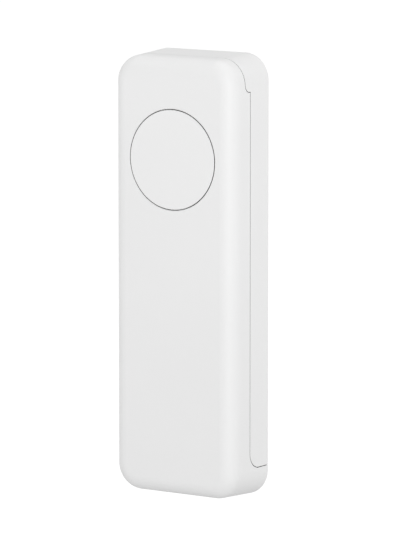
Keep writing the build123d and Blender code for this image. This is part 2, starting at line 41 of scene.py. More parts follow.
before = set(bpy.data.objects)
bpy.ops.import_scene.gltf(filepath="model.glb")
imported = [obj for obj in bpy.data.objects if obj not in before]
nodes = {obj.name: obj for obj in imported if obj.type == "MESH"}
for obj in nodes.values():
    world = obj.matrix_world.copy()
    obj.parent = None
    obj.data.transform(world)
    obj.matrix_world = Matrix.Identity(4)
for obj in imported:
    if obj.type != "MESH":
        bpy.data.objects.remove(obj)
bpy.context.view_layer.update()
scene = bpy.context.scene


# ---------------------------------------------------------------- sizes, in millimetres

# The body's skin, as the shells follow it: half sizes at the wall, and how they shrink to the front
BODY_LOW, BODY_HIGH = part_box("front_housing")
BODY_DEPTH = -BODY_LOW[1] / MM
HALF_WIDTH = BODY_HIGH[0] / MM
HALF_HEIGHT = -BODY_LOW[2] / MM
SIDE_TAPER = 0.3
END_TAPER = 1.0
CORNER_R = 7.2

# The button, from its own box
BUTTON_LOW, BUTTON_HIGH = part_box("button_cap")
BUTTON_Z = (BUTTON_LOW[2] + BUTTON_HIGH[2]) / 2 / MM
BUTTON_FLANGE_W = 1.25
BUTTON_R = BUTTON_HIGH[0] / MM - BUTTON_FLANGE_W
BUTTON_GAP = 0.2

# Where the painted shade in the gaps lies: depths below the skin, depths from the wall, and depths behind
# the front face
GAP_SHADE_DEEPEST = 0.5
GAP_SHADE_SHALLOWEST = 0.08
CAP_SEAM_DEPTH = 12.4
WALL_CLEAR = 0.6
RING_TOP = 0.22
RING_FLOOR = 1.4


# ---------------------------------------------------------------- colour and node helpers

def srgb(hex_value):
    """Linear RGBA of an sRGB hex colour."""
    part = [int(hex_value[i : i + 2], 16) / 255 for i in (0, 2, 4)]
    return tuple(c / 12.92 if c <= 0.04045 else ((c + 0.055) / 1.055) ** 2.4 for c in part) + (1.0,)


def add(tree, kind, links=(), **settings):
    """Adds a node. `links` holds (input, value) pairs, where a value is a socket or a plain value."""
    node = tree.nodes.new(kind)
    for key, value in settings.items():
        setattr(node, key, value)
    for name, value in links:
        if isinstance(value, bpy.types.NodeSocket):
            tree.links.new(value, node.inputs[name])
        else:
            node.inputs[name].default_value = value
    return node


def start(name, colour, roughness, metallic=0.0, **extra):
    """New material with its shader, and the object's own coordinates for its patterns."""
    material = bpy.data.materials.new(name)
    material.use_nodes = True
    material.diffuse_color = srgb(colour)
    tree = material.node_tree
    shader = tree.nodes["Principled BSDF"]
    shader.inputs["Base Color"].default_value = srgb(colour)
    shader.inputs["Roughness"].default_value = roughness
    shader.inputs["Metallic"].default_value = metallic
    for key, value in extra.items():
        shader.inputs[key.replace("_", " ")].default_value = value
    here = add(tree, "ShaderNodeTexCoord").outputs["Object"]
    return material, tree, shader, here


def clouds(tree, here, size_mm, detail=3.0):
    """Soft random variation from 0 to 1, `size_mm` across."""
    return add(
        tree, "ShaderNodeTexNoise", [("Vector", here), ("Scale", 1 / (size_mm * MM)), ("Detail", detail)]
    ).outputs["Fac"]


def span(tree, value, from_low, from_high, low, high):
    """Smooth change from one number to another as a value goes over a range."""
    return add(
        tree,
        "ShaderNodeMapRange",
        [
            ("Value", value),
            ("From Min", from_low),
            ("From Max", from_high),
            ("To Min", low),
            ("To Max", high),
        ],
        interpolation_type="SMOOTHSTEP",
    ).outputs["Result"]


def band(tree, value, low_mm, high_mm, soft_mm):
    """1 where a length lies between two values, fading out over `soft_mm` beyond them."""
    middle = (low_mm + high_mm) / 2 * MM
    half = (high_mm - low_mm) / 2 * MM
    offset = add(tree, "ShaderNodeMath", [(0, value), (1, middle)], operation="SUBTRACT").outputs[0]
    away = add(tree, "ShaderNodeMath", [(0, offset)], operation="ABSOLUTE").outputs[0]
    return span(tree, away, half, half + soft_mm * MM, 1.0, 0.0)


def joined(tree, operation, *masks):
    """Masks combined one after another by MULTIPLY or MAXIMUM."""
    total = masks[0]
    for mask in masks[1:]:
        total = add(tree, "ShaderNodeMath", [(0, total), (1, mask)], operation=operation).outputs[0]
    return total


def blend(tree, mask, under, over):
    """One colour laid over another where a mask is 1; a colour is a hex value or a socket."""
    node = add(tree, "ShaderNodeMix", data_type="RGBA")
    tree.links.new(mask, node.inputs["Factor"])
    for socket, value in ((node.inputs[6], under), (node.inputs[7], over)):
        if isinstance(value, str):
            socket.default_value = srgb(value)
        else:
            tree.links.new(value, socket)
    return node.outputs[2]


def relief(tree, shader, height, depth_mm):
    """Bump of `depth_mm` from a height that runs from 0 to 1."""
    bump = add(tree, "ShaderNodeBump", [("Height", height), ("Strength", 1.0), ("Distance", depth_mm * MM)])
    tree.links.new(bump.outputs["Normal"], shader.inputs["Normal"])


# ---------------------------------------------------------------- materials

def skin_depth(tree, here, y_back):
    """How far a point lies outside the body's rounded outline (negative inside), level by level:
    length(max(|p| - h + r, 0)) - r, where h shrinks towards the front."""
    shrink = (SIDE_TAPER / BODY_DEPTH, 0, END_TAPER / BODY_DEPTH)
    inner = tuple((half - CORNER_R) * MM for half in (HALF_WIDTH, CORNER_R, HALF_HEIGHT))
    core = add(
        tree, "ShaderNodeVectorMath", [(0, y_back), (1, shrink), (2, inner)], operation="MULTIPLY_ADD"
    ).outputs[0]
    size = add(tree, "ShaderNodeVectorMath", [(0, here)], operation="ABSOLUTE").outputs[0]
    past = add(tree, "ShaderNodeVectorMath", [(0, size), (1, core)], operation="SUBTRACT").outputs[0]
    kept = add(tree, "ShaderNodeVectorMath", [(0, past), (1, (0, 0, 0))], operation="MAXIMUM").outputs[0]
    flat = add(tree, "ShaderNodeVectorMath", [(0, kept), (1, (1, 0, 1))], operation="MULTIPLY").outputs[0]
    reach = add(tree, "ShaderNodeVectorMath", [(0, flat)], operation="LENGTH").outputs["Value"]
    return add(tree, "ShaderNodeMath", [(0, reach), (1, CORNER_R * MM)], operation="SUBTRACT").outputs[0]


def axis_distance(tree, here, x_mid, z_mid):
    """Distance from a line along Y through (x_mid, z_mid)."""
    centre = (x_mid * MM, 0, z_mid * MM)
    arm = add(tree, "ShaderNodeVectorMath", [(0, here), (1, centre)], operation="SUBTRACT").outputs[0]
    flat = add(tree, "ShaderNodeVectorMath", [(0, arm), (1, (1, 0, 1))], operation="MULTIPLY").outputs[0]
    return add(tree, "ShaderNodeVectorMath", [(0, flat)], operation="LENGTH").outputs["Value"]


def seam_painted_shade(tree, here):
    """Mask of the painted shade in the gaps: just inside the seam between the shells, and on the two walls
    of the narrow ring round the button."""
    y_back = add(tree, "ShaderNodeSeparateXYZ", [("Vector", here)]).outputs["Y"]
    in_seam = band(tree, skin_depth(tree, here, y_back), -GAP_SHADE_DEEPEST, -GAP_SHADE_SHALLOWEST, 0.04)
    at_seam = band(tree, y_back, -CAP_SEAM_DEPTH, -WALL_CLEAR, 0.1)
    radius = axis_distance(tree, here, 0, BUTTON_Z)
    in_ring = band(tree, radius, BUTTON_R - 0.01, BUTTON_R + BUTTON_GAP + 0.01, 0.02)
    at_ring = band(tree, y_back, RING_TOP - BODY_DEPTH, RING_FLOOR - BODY_DEPTH, 0.06)
    seam = joined(tree, "MULTIPLY", in_seam, at_seam)
    ring = joined(tree, "MULTIPLY", in_ring, at_ring)
    return joined(tree, "MAXIMUM", seam, ring)


def stretched(tree, here, scale):
    """Coordinates drawn out, so that a pattern becomes lines or streaks."""
    return add(tree, "ShaderNodeMapping", [("Vector", here), ("Scale", scale)]).outputs["Vector"]


def foam_pores(tree, here, size_mm):
    """0 in the middle of each pore of a foam, rising to its walls."""
    return add(
        tree, "ShaderNodeTexVoronoi", [("Vector", here), ("Scale", 1 / (size_mm * MM))], feature="F1"
    ).outputs["Distance"]


# Colour of the painted shade deep in the gaps: a dark grey-brown
PAINTED_GAP_SHADE = "33312f"


def moulded_white(name, low, high, roughness, grain_mm):
    """ABS from a spark-eroded mould: satin white, a fine even grain, barely any colour drift, and a thin
    dark line of painted shade in the seams and in the ring round the button. The grain is real size, about
    a third of a mm."""
    material, tree, shader, here = start(name, low, roughness, IOR=1.52)
    plain = blend(tree, clouds(tree, here, 26.0), low, high)
    # Painted shade: the gaps' mask darkens the colour to a dark grey-brown in the seams and round the
    # button
    tree.links.new(blend(tree, seam_painted_shade(tree, here), plain, PAINTED_GAP_SHADE), shader.inputs["Base Color"])
    gloss = span(tree, clouds(tree, here, 9.0), 0.3, 0.7, roughness - 0.03, roughness + 0.03)
    tree.links.new(gloss, shader.inputs["Roughness"])
    relief(tree, shader, clouds(tree, here, grain_mm, 2.0), 0.006)
    return material


def moulded_frame():
    """Grey ABS from a plain steel tool: long faint flow streaks and a slightly scuffed gloss."""
    material, tree, shader, here = start("frame ABS, plain tool finish", "b4b7ba", 0.5, IOR=1.52)
    flow = clouds(tree, stretched(tree, here, (1.0, 1.0, 0.12)), 3.0, 4.0)
    tree.links.new(blend(tree, flow, "aeb1b4", "babdc0"), shader.inputs["Base Color"])
    scuffs = span(tree, clouds(tree, here, 1.2, 6.0), 0.35, 0.65, 0.42, 0.58)
    tree.links.new(scuffs, shader.inputs["Roughness"])
    relief(tree, shader, clouds(tree, here, 0.25, 3.0), 0.008)
    return material


def foam_tape():
    """Closed-cell polyethylene foam with burst cells on its cut edges, and a waxed paper liner
    with fine diagonal ribs over the adhesive on the wall side."""
    material, tree, shader, here = start("foam tape, die-cut closed cell", "e6e3da", 0.75)
    depth = add(tree, "ShaderNodeSeparateXYZ", [("Vector", here)]).outputs["Y"]
    liner = span(tree, depth, -0.12 * MM, -0.05 * MM, 0.0, 1.0)
    pores = foam_pores(tree, here, 0.4)
    # Painted shade: each pore is darker in its middle than at its walls, where the bump below sinks into a
    # pit
    foam = blend(tree, span(tree, pores, 0.2, 0.75, 0.0, 1.0), "d8d4c8", "efece4")
    slanted = add(tree, "ShaderNodeMapping", [("Vector", here), ("Rotation", (0, radians(45), 0))])
    ribs = add(
        tree,
        "ShaderNodeTexWave",
        [("Vector", slanted.outputs["Vector"]), ("Scale", 1 / (2.4 * MM)), ("Distortion", 0.0)],
        bands_direction="X",
    ).outputs["Fac"]
    paper = blend(tree, span(tree, ribs, 0.35, 0.65, 0.0, 1.0), "d3c48f", "dccf9f")
    tree.links.new(blend(tree, liner, foam, paper), shader.inputs["Base Color"])
    tree.links.new(span(tree, liner, 0.0, 1.0, 0.8, 0.38), shader.inputs["Roughness"])
    relief(tree, shader, pores, 0.05)
    return material


def silicone():
    """Milky silicone from a compression mould: slightly clear, with a soft matt bloom of talc."""
    material, tree, shader, here = start(
        "silicone rubber, moulded", "dfe2e4", 0.42, IOR=1.41, Transmission_Weight=0.25
    )
    bloom = clouds(tree, here, 2.0, 5.0)
    tree.links.new(blend(tree, bloom, "d2d6d9", "e8eaeb"), shader.inputs["Base Color"])
    tree.links.new(span(tree, bloom, 0.3, 0.7, 0.36, 0.55), shader.inputs["Roughness"])
    relief(tree, shader, clouds(tree, here, 0.3), 0.01)
    return material


def seal_foam():
    """Black EPDM sponge, die-cut from sheet: open matt cells about a quarter of a mm across."""
    material, tree, shader, here = start("EPDM sponge, die-cut", "252526", 0.9)
    pores = foam_pores(tree, here, 0.25)
    # Painted shade: each pore is darker in its middle than at its walls, where the bump below sinks into a
    # pit
    tree.links.new(blend(tree, pores, "161617", "343435"), shader.inputs["Base Color"])
    relief(tree, shader, pores, 0.06)
    return material


def plated(name, low, high, roughness, streak, size_mm, height_mm):
    """Plated or bare metal: a colour that drifts between two tones, streaks from its rolling or
    drawing (drawn out along the axis where `streak` is small), and a gloss that follows them."""
    material, tree, shader, here = start(name, low, roughness, metallic=1.0)
    lines = clouds(tree, stretched(tree, here, streak), size_mm, 5.0)
    drift = clouds(tree, here, 6 * size_mm, 2.0)
    tone = blend(tree, span(tree, drift, 0.3, 0.7, 0.0, 1.0), low, high)
    tree.links.new(tone, shader.inputs["Base Color"])
    gloss = span(tree, lines, 0.3, 0.7, roughness - 0.07, roughness + 0.1)
    tree.links.new(gloss, shader.inputs["Roughness"])
    relief(tree, shader, lines, height_mm)
    return material


def solder_mask():
    """Glass-fibre laminate under green solder mask: copper tracks stand out as paler lines, plated
    vias as bright dots, the weave shows faintly, and the sawn edge is bare straw-coloured resin.
    Tracks are drawn 0.3 mm wide, about twice the real width, so that they show."""
    material, tree, shader, here = start("laminate under solder mask", "1d6137", 0.32, IOR=1.55)
    tracks = []
    for row_mm, run_mm, shift, turn in ((1.3, 13.0, 0.37, 0), (1.7, 10.0, 0.61, radians(90))):
        flat = add(
            tree, "ShaderNodeMapping", [("Vector", here), ("Rotation", (radians(90), 0, turn))]
        ).outputs["Vector"]
        bricks = add(
            tree,
            "ShaderNodeTexBrick",
            [
                ("Vector", flat),
                ("Color1", (0, 0, 0, 1)),
                ("Color2", (0, 0, 0, 1)),
                ("Mortar", (1, 1, 1, 1)),
                ("Scale", 1.0),
                ("Mortar Size", 0.15 * MM),
                ("Mortar Smooth", 0.3),
                ("Brick Width", run_mm * MM),
                ("Row Height", row_mm * MM),
            ],
            offset=shift,
        )
        region = span(tree, clouds(tree, flat, 5.0 + row_mm, 1.0), 0.5, 0.53, 0.0, 1.0)
        tracks.append(joined(tree, "MULTIPLY", bricks.outputs["Color"], region))
    copper = joined(tree, "MAXIMUM", *tracks)
    drilled = add(
        tree, "ShaderNodeTexVoronoi", [("Vector", flat), ("Scale", 1 / (3.2 * MM)), ("Randomness", 0.9)]
    ).outputs["Distance"]
    vias = span(tree, drilled, 0.08, 0.11, 1.0, 0.0)
    weave = clouds(tree, stretched(tree, here, (1.0, 1.0, 0.3)), 0.8, 3.0)
    mask = blend(tree, weave, "1a5a33", "20683c")
    traced = blend(tree, copper, mask, "3b8a52")
    dotted = blend(tree, vias, traced, "c9c6b4")
    normal = add(tree, "ShaderNodeTexCoord").outputs["Normal"]
    facing = add(tree, "ShaderNodeSeparateXYZ", [("Vector", normal)])
    squareness = add(tree, "ShaderNodeMath", [(0, facing.outputs["Y"])], operation="ABSOLUTE").outputs[0]
    sawn = span(tree, squareness, 0.3, 0.6, 1.0, 0.0)
    tree.links.new(blend(tree, sawn, dotted, "b9ad78"), shader.inputs["Base Color"])
    relief(tree, shader, joined(tree, "MAXIMUM", copper, vias), 0.03)
    return material


def shrink_sleeve(name, x_mid, plus_z, toward):
    """Gloss PVC sleeve, printed in one dark tone with two pale rings near the nub and a plain plus
    mark on the side that faces the wall; the heat has left a faint ripple."""
    material, tree, shader, here = start(name, "2f475c", 0.26, IOR=1.54, Coat_Weight=0.3)
    split = add(tree, "ShaderNodeSeparateXYZ", [("Vector", here)])
    across, depth, height = split.outputs["X"], split.outputs["Y"], split.outputs["Z"]
    rings = [
        band(tree, height, *sorted((plus_z - toward * near, plus_z - toward * far)), 0.04)
        for near, far in ((2.0, 3.2), (3.8, 4.2))
    ]
    bars = []
    mark_z = plus_z - toward * 8.0
    for half_x, half_z in ((1.7, 0.35), (0.35, 1.7)):
        wide = band(tree, across, x_mid - half_x, x_mid + half_x, 0.03)
        tall = band(tree, height, mark_z - half_z, mark_z + half_z, 0.03)
        bars.append(joined(tree, "MULTIPLY", wide, tall))
    wall_side = span(tree, depth, (CELL_Y - 1.0) * MM, CELL_Y * MM, 0.0, 1.0)
    plus = joined(tree, "MULTIPLY", joined(tree, "MAXIMUM", *bars), wall_side)
    body = blend(tree, clouds(tree, here, 5.0), "2b4256", "344d63")
    printed = blend(tree, joined(tree, "MAXIMUM", plus, *rings), body, "cfd3d6")
    tree.links.new(printed, shader.inputs["Base Color"])
    relief(tree, shader, clouds(tree, stretched(tree, here, (1.0, 1.0, 0.25)), 2.5), 0.03)
    return material


def moulded_small(name, low, high, roughness, grain_mm, streak=(1.0, 1.0, 1.0)):
    """Small engineering moulding: even colour with short streaks of filler and a fine matt grain."""
    material, tree, shader, here = start(name, low, roughness, IOR=1.5)
    filler = clouds(tree, stretched(tree, here, streak), 0.6, 6.0)
    tone = blend(tree, span(tree, filler, 0.35, 0.7, 0.0, 1.0), low, high)
    tree.links.new(tone, shader.inputs["Base Color"])
    gloss = span(tree, filler, 0.3, 0.7, roughness - 0.06, roughness + 0.08)
    tree.links.new(gloss, shader.inputs["Roughness"])
    relief(tree, shader, clouds(tree, here, grain_mm, 3.0), 0.012)
    return material


def striped_case():
    """Moulded case of a tantalum capacitor: ochre epoxy with a darker band at its positive end."""
    material, tree, shader, here = start("tantalum case, moulded epoxy", "cf9a3a", 0.5, IOR=1.55)
    low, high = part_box("bulk_capacitor")
    across = add(tree, "ShaderNodeSeparateXYZ", [("Vector", here)]).outputs["X"]
    stripe = band(tree, across, low[0] / MM + 0.5, low[0] / MM + 1.3, 0.03)
    ochre = blend(tree, clouds(tree, here, 0.8, 4.0), "c79233", "d8a548")
    tree.links.new(blend(tree, stripe, ochre, "6b421c"), shader.inputs["Base Color"])
    relief(tree, shader, clouds(tree, here, 0.12), 0.008)
    return material


CELL_LOW, CELL_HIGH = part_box("cell_left")
RIGHT_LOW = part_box("cell_right")[0]
CELL_Y = (CELL_LOW[1] + CELL_HIGH[1]) / 2 / MM
CELL_X = -(CELL_LOW[0] + CELL_HIGH[0]) / 2 / MM

shell_abs = moulded_white("shell ABS, spark-eroded satin", "e8e8e8", "ebebeb", 0.46, 0.35)
button_abs = moulded_white("button ABS, fine satin", "e9e9e9", "ececec", 0.42, 0.28)
frame_abs = moulded_frame()
tape_foam = foam_tape()
boot_silicone = silicone()
gasket_sponge = seal_foam()
screw_zinc = plated("zinc-plated steel, barrel plated", "aab0b8", "c2c6c9", 0.3, (1, 1, 1), 0.5, 0.006)
board_mask = solder_mask()
tin_sheet = plated("tin plate, drawn sheet", "c3c2bd", "d2d1cc", 0.3, (1, 1, 0.1), 0.3, 0.004)
dome_steel = plated("stainless spring sheet, tumbled", "bfc2c5", "cdd0d2", 0.22, (1, 1, 1), 0.25, 0.003)
nickel_wire = plated("nickel plate, drawn and formed", "c4bfb3", "d6d2c8", 0.2, (1, 1, 0.15), 0.2, 0.003)
brass_strip = plated(
    "brass strip, sheared, slightly tarnished", "c9a24f", "a9843c", 0.33, (1, 1, 0.1), 0.4, 0.005
)
can_steel = plated("cell can, nickel-plated and drawn", "c2c2bf", "d0d0ce", 0.24, (1, 1, 0.06), 0.3, 0.003)
left_sleeve = shrink_sleeve("left cell sleeve, gloss PVC", -CELL_X, CELL_HIGH[2] / MM, 1)
right_sleeve = shrink_sleeve("right cell sleeve, gloss PVC", CELL_X, RIGHT_LOW[2] / MM, -1)
switch_black = moulded_small("switch LCP, glass-filled", "18181a", "2a2a2c", 0.5, 0.12, (1.0, 1.0, 0.2))
stem_grey = moulded_small("plunger acetal, grey", "83868a", "909396", 0.38, 0.1)
stem_red = moulded_small("plunger acetal, red", "9b2219", "ad2f25", 0.38, 0.1)
chip_epoxy = moulded_small("chip epoxy, transfer moulded", "1b1b1d", "26262a", 0.56, 0.06)
case_ochre = striped_case()
ceramic = moulded_small("capacitor ceramic, fired", "a38765", "b59a78", 0.36, 0.08)


def dress(material, *names):
    """Gives CAD nodes their finish."""
    for name in names:
        slots = nodes[name].data.materials
        slots.clear()
        slots.append(material)


dress(shell_abs, "front_housing", "rear_cover")
dress(button_abs, "button_cap")
dress(frame_abs, "inner_frame")
dress(tape_foam, "mounting_tape")
dress(boot_silicone, "button_boot")
dress(gasket_sponge, "frame_gasket")
dress(screw_zinc, "frame_screws", "board_screws")
dress(board_mask, "main_board", "radio_board")
dress(tin_sheet, "radio_shield", "crystal", "controller_leads")
dress(tin_sheet, "push_switch_cover", "push_switch_legs", "pair_switch_cover", "pair_switch_legs")
dress(dome_steel, "push_switch_dome", "pair_switch_dome")
dress(nickel_wire, "positive_contact", "negative_contact", "link_contact", "top_spring", "link_spring")
dress(brass_strip, "antenna")
dress(can_steel, "cell_left", "cell_right")
dress(left_sleeve, "cell_left_sleeve")
dress(right_sleeve, "cell_right_sleeve")
dress(switch_black, "push_switch_body", "pair_switch_body")
dress(stem_grey, "push_switch_plunger")
dress(stem_red, "pair_switch_plunger")
dress(chip_epoxy, "controller", "radio_chip", "resistors")
dress(case_ochre, "bulk_capacitor")
dress(ceramic, "capacitors")


# ---------------------------------------------------------------- pieces beyond the CAD nodes

AROUND = 48
SHARP_EDGE = radians(40)


def ring_faces(rows, around, ended):
    """Faces of a closed form: quads between neighbouring rings of points, then either a fan of
    triangles onto one point at each end, or one more row of quads from the last ring to the first."""
    ring = np.arange(rows * around).reshape(rows, around) + (1 if ended else 0)
    after = ring[1:] if ended else np.roll(ring, -1, axis=0)
    before = ring[:-1] if ended else ring
    beside = np.roll(before, -1, axis=1)
    quads = np.stack((before, beside, np.roll(after, -1, axis=1), after), axis=-1).reshape(-1, 4).tolist()
    if not ended:
        return quads
    near = np.stack((np.zeros(around, int), np.roll(ring[0], -1), ring[0]), axis=-1)
    far = np.stack((np.full(around, 1 + rows * around), ring[-1], np.roll(ring[-1], -1)), axis=-1)
    return quads + near.tolist() + far.tolist()


def volume(points, faces):
    """Six times the volume of a closed form, as the sum of its faces' wedges from the origin. It is
    negative where the faces point inwards."""
    corners = [np.array([points[face[k]] for face in faces]) for k in range(3)]
    last = np.array([points[face[-1]] for face in faces])
    lower = np.einsum("ij,ij->i", corners[0], np.cross(corners[1], corners[2]))
    upper = np.einsum("ij,ij->i", corners[0], np.cross(corners[2], last))
    return float((lower + upper).sum())


def closed_piece(name, forms, body, material, replaced=()):
    """One object made of closed forms. Each form is (start point, rings of points, end point) in mm,
    with None for both points on a ring-shaped form, and its faces are turned outwards."""
    points, faces = [], []
    for begin, rings, end in forms:
        rows, around = rings.shape[:2]
        own = rings.reshape(-1, 3) * MM
        if begin is not None:
            own = np.concatenate(([begin], rings.reshape(-1, 3), [end])) * MM
        own_faces = ring_faces(rows, around, begin is not None)
        if volume(own, own_faces) < 0:
            own_faces = [face[::-1] for face in own_faces]
        faces += [[corner + len(points) for corner in face] for face in own_faces]
        points += own.tolist()
    mesh = bpy.data.meshes.new(name)
    mesh.from_pydata(points, [], faces)
    mesh.materials.append(material)
    mesh.shade_smooth()
    piece = bpy.data.objects.new(name, mesh)
    scene.collection.objects.link(piece)
    sharp = piece.modifiers.new("sharp edges", "EDGE_SPLIT")
    sharp.split_angle = SHARP_EDGE
    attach(piece, body)
    if replaced:
        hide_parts(*replaced)
    return piece


def turned(radius, along, x_mid, z_mid, y_start, toward):
    """Rings about a line along Y: each ring has a radius and a distance from the start, both of
    which may change round the ring. `toward` is -1 to run to the front and 1 to run to the wall."""
    angle = np.linspace(0, 2 * np.pi, radius.shape[1], endpoint=False)
    x = x_mid + radius * np.cos(angle)
    z = z_mid + radius * np.sin(angle)
    return np.stack((x, y_start + toward * along, z), axis=-1)


# Thread depth as a share of the pitch, and the length of the tip's cone in mm
THREAD_DEPTH = 0.28
TIP_L = 0.5


def screw(head_r, head_t, shank_r, length, pitch, cross, x_mid, z_mid, y_start, toward):
    """Pan-head screw. The head's top rises as (1 - share of radius squared); the cross recess sinks
    by its depth where either arm's smooth window is 1; the thread takes THREAD_DEPTH of its pitch,
    times a triangle wave of (turns round + turns along), from the shank's radius; the tip is a cone."""
    cross_l, cross_w, cross_d = cross
    angle = np.linspace(0, 2 * np.pi, AROUND, endpoint=False)
    share = np.linspace(0.04, 0.86, 26)[:, None] * np.ones(AROUND)
    u, v = share * head_r * np.cos(angle), share * head_r * np.sin(angle)
    soft = 0.08 * head_r

    def arm(along_arm, across_arm):
        inside = np.minimum(cross_l / 2 - abs(along_arm), cross_w / 2 - abs(across_arm))
        return np.clip(inside / soft + 0.5, 0, 1)

    sunk = cross_d * np.maximum(arm(u, v), arm(v, u))
    dome = 0.22 * head_t
    top = dome * share**2 + sunk
    turn = np.linspace(0, np.pi / 2, 6)[:, None] * np.ones(AROUND)
    corner = 0.14 * head_r
    shoulder_r = head_r - corner + corner * np.sin(turn)
    shoulder = dome + corner * (1 - np.cos(turn))
    under_r = np.array([head_r, shank_r])[:, None] * np.ones(AROUND)
    under = np.full((2, AROUND), head_t)
    steps = int((length - TIP_L) / pitch * 8)
    travel = np.linspace(0.02, length - TIP_L, steps)[:, None] * np.ones(AROUND)
    wave = abs(2 * np.mod(travel / pitch + angle / (2 * np.pi), 1.0) - 1)
    run_in = np.clip(travel / pitch, 0, 1)
    thread_r = shank_r - THREAD_DEPTH * pitch * wave * run_in
    tip_r = np.array([0.62, 0.34])[:, None] * shank_r * np.ones(AROUND)
    tip = head_t + np.array([length - TIP_L / 2, length - 0.08])[:, None] * np.ones(AROUND)
    radius = np.concatenate((share * head_r, shoulder_r, under_r, thread_r, tip_r))
    along = np.concatenate((top, shoulder, under, head_t + travel, tip))
    begin = (x_mid, y_start + toward * cross_d, z_mid)
    end = (x_mid, y_start + toward * (head_t + length), z_mid)
    return begin, turned(radius, along, x_mid, z_mid, y_start, toward), end


def disc(profile, x_mid, z_mid, y_start, toward):
    """Low turned form from (radius, distance) pairs, closed by a point on its axis at each end."""
    steps = np.array(profile)
    radius = steps[:, :1] * np.ones(AROUND)
    along = steps[:, 1:] * np.ones(AROUND)
    begin = (x_mid, y_start + toward * steps[0, 1], z_mid)
    end = (x_mid, y_start + toward * steps[-1, 1], z_mid)
    return begin, turned(radius, along, x_mid, z_mid, y_start, toward), end


def soft_block(low, high, power, rows=15, around=32):
    """Block with rounded edges between two corners: a superellipsoid, in which each of the sphere's
    cosines and sines is raised to `power` and keeps its sign."""
    lift = np.linspace(-np.pi / 2, np.pi / 2, rows + 2)[1:-1, None] * np.ones(around)
    angle = np.linspace(0, 2 * np.pi, around, endpoint=False) + np.pi / around

    def signed_power(value):
        return np.sign(value) * abs(value) ** power

    waist = signed_power(np.cos(lift))
    x = waist * signed_power(np.cos(angle))
    z = waist * signed_power(np.sin(angle))
    unit = np.stack((x, signed_power(np.sin(lift)), z), axis=-1)
    low, high = np.array(low), np.array(high)
    middle, half = (low + high) / 2, (high - low) / 2
    return middle - half * (0, 1, 0), middle + half * unit, middle + half * (0, 1, 0)


def in_mm(node):
    """A node's lowest and highest corners in millimetres."""
    low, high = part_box(node)
    return np.array(low) / MM, np.array(high) / MM


# Screws that hold the frame: heads on the wall side of the deck
FRAME_HEAD_R = 1.9
FRAME_HEAD_T = 1.1
FRAME_SCREW_R = 0.85
FRAME_PITCH = 0.6
FRAME_CROSS = (2.0, 0.45, 0.5)
LOW_SCREW_X = 10.0
screws_low, screws_high = in_mm("frame_screws")
frame_places = [
    (side * reach, height)
    for side in (-1, 1)
    for reach, height in (
        (screws_high[0] - FRAME_HEAD_R, screws_high[2] - FRAME_HEAD_R),
        (LOW_SCREW_X, screws_low[2] + FRAME_HEAD_R),
    )
]
frame_shank_l = screws_high[1] - screws_low[1] - FRAME_HEAD_T
frame_sizes = (FRAME_HEAD_R, FRAME_HEAD_T, FRAME_SCREW_R, frame_shank_l, FRAME_PITCH, FRAME_CROSS)
frame_set = [screw(*frame_sizes, x, z, screws_high[1], -1) for x, z in frame_places]
closed_piece("frame_screw_set", frame_set, "front_unit", screw_zinc, ["frame_screws"])

# Screws that hold the board: heads on its front
BOARD_HEAD_R = 1.4
BOARD_HEAD_T = 0.8
BOARD_SCREW_R = 0.7
BOARD_PITCH = 0.5
BOARD_CROSS = (1.5, 0.35, 0.4)
small_low, small_high = in_mm("board_screws")
board_shank_l = small_high[1] - small_low[1] - BOARD_HEAD_T
board_sizes = (BOARD_HEAD_R, BOARD_HEAD_T, BOARD_SCREW_R, board_shank_l, BOARD_PITCH, BOARD_CROSS)
board_set = [
    screw(*board_sizes, x, z, small_low[1], 1)
    for x in (small_low[0] + BOARD_HEAD_R, small_high[0] - BOARD_HEAD_R)
    for z in (small_low[2] + BOARD_HEAD_R, small_high[2] - BOARD_HEAD_R)
]
closed_piece("board_screw_set", board_set, "front_unit", screw_zinc, ["board_screws"])

# Marks that the moulds leave: ejector-pin rings on hidden faces and the snapped gate of the cover,
# each as (radius, height) pairs
PLATE_T = 2.0
MARK_X = 9.0
MARK_PITCH = 16.4
EJECTOR = [(0.5, -0.2), (1.75, -0.2), (1.75, 0.05), (1.7, 0.07), (1.6, 0.07), (1.5, 0.02), (0.8, 0.02)]
GATE = [(0.3, -0.2), (0.75, -0.2), (0.75, 0.0), (0.62, 0.16), (0.45, 0.3), (0.32, 0.24), (0.15, 0.3)]
cover_marks = [
    disc(EJECTOR, x, row * MARK_PITCH, -PLATE_T, -1) for x in (-MARK_X, MARK_X) for row in range(-2, 3)
]
cover_marks.append(disc(GATE, 0, 0, -PLATE_T, -1))
closed_piece("cover_mould_marks", cover_marks, "rear", shell_abs)

# The frame's marks stand on the deck's wall side, at heights above the cell tray's end
DECK_T = 1.2
TRAY_PAST_CELL = 1.6
DECK_MARK_X = 12.6
deck_back = in_mm("frame_gasket")[1][1] + DECK_T
tray_end = in_mm("cell_left")[1][2] + TRAY_PAST_CELL
deck_places = [(side * DECK_MARK_X, tray_end + rise) for rise in (9, 27) for side in (-1, 1)]
deck_places.append((0, tray_end + 31))
deck_marks = [disc(EJECTOR, x, z, deck_back, 1) for x, z in deck_places]
closed_piece("frame_mould_marks", deck_marks, "front_unit", frame_abs)


def boxes_in(node):
    """Lowest and highest corners of each small block in a node whose blocks stand side by side."""
    count = len(nodes[node].data.vertices)
    points = np.empty(count * 3)
    nodes[node].data.vertices.foreach_get("co", points)
    points = points.reshape(-1, 3) / MM
    sides = np.unique(points[:, 0].round(3))
    found = []
    for left, right in zip(sides[::2], sides[1::2]):
        inside = points[(points[:, 0] > left - 0.01) & (points[:, 0] < right + 0.01)]
        found.append((inside.min(axis=0), inside.max(axis=0)))
    return found


